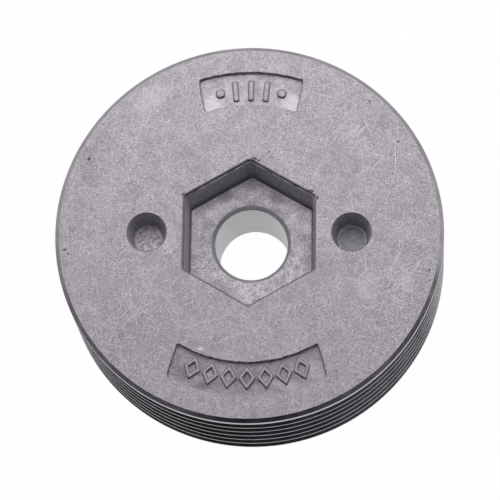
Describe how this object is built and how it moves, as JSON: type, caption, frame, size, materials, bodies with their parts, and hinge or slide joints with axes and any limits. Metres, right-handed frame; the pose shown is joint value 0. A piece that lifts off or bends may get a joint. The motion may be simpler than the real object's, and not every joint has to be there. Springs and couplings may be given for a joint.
{
  "type": "ribbed belt pulley",
  "caption": "Cast and turned aluminium ribbed belt pulley with a hexagon socket, a through bore, blind pin holes and a cored back",
  "frame": {"origin": "on the bore's axis, at the foot of the hub", "axes": "+Z along the bore's axis, towards the face with the hexagon socket; the pin holes lie along X"},
  "size_m": [0.076, 0.076, 0.0265],
  "materials": {
    "cast_aluminium": "die cast skin, matt and finely mottled, turned bright on the rim, the rim's edges and the bore"
  },
  "bodies": {
    "root": {"pulley": "cast_aluminium"}
  },
  "joints": []
}
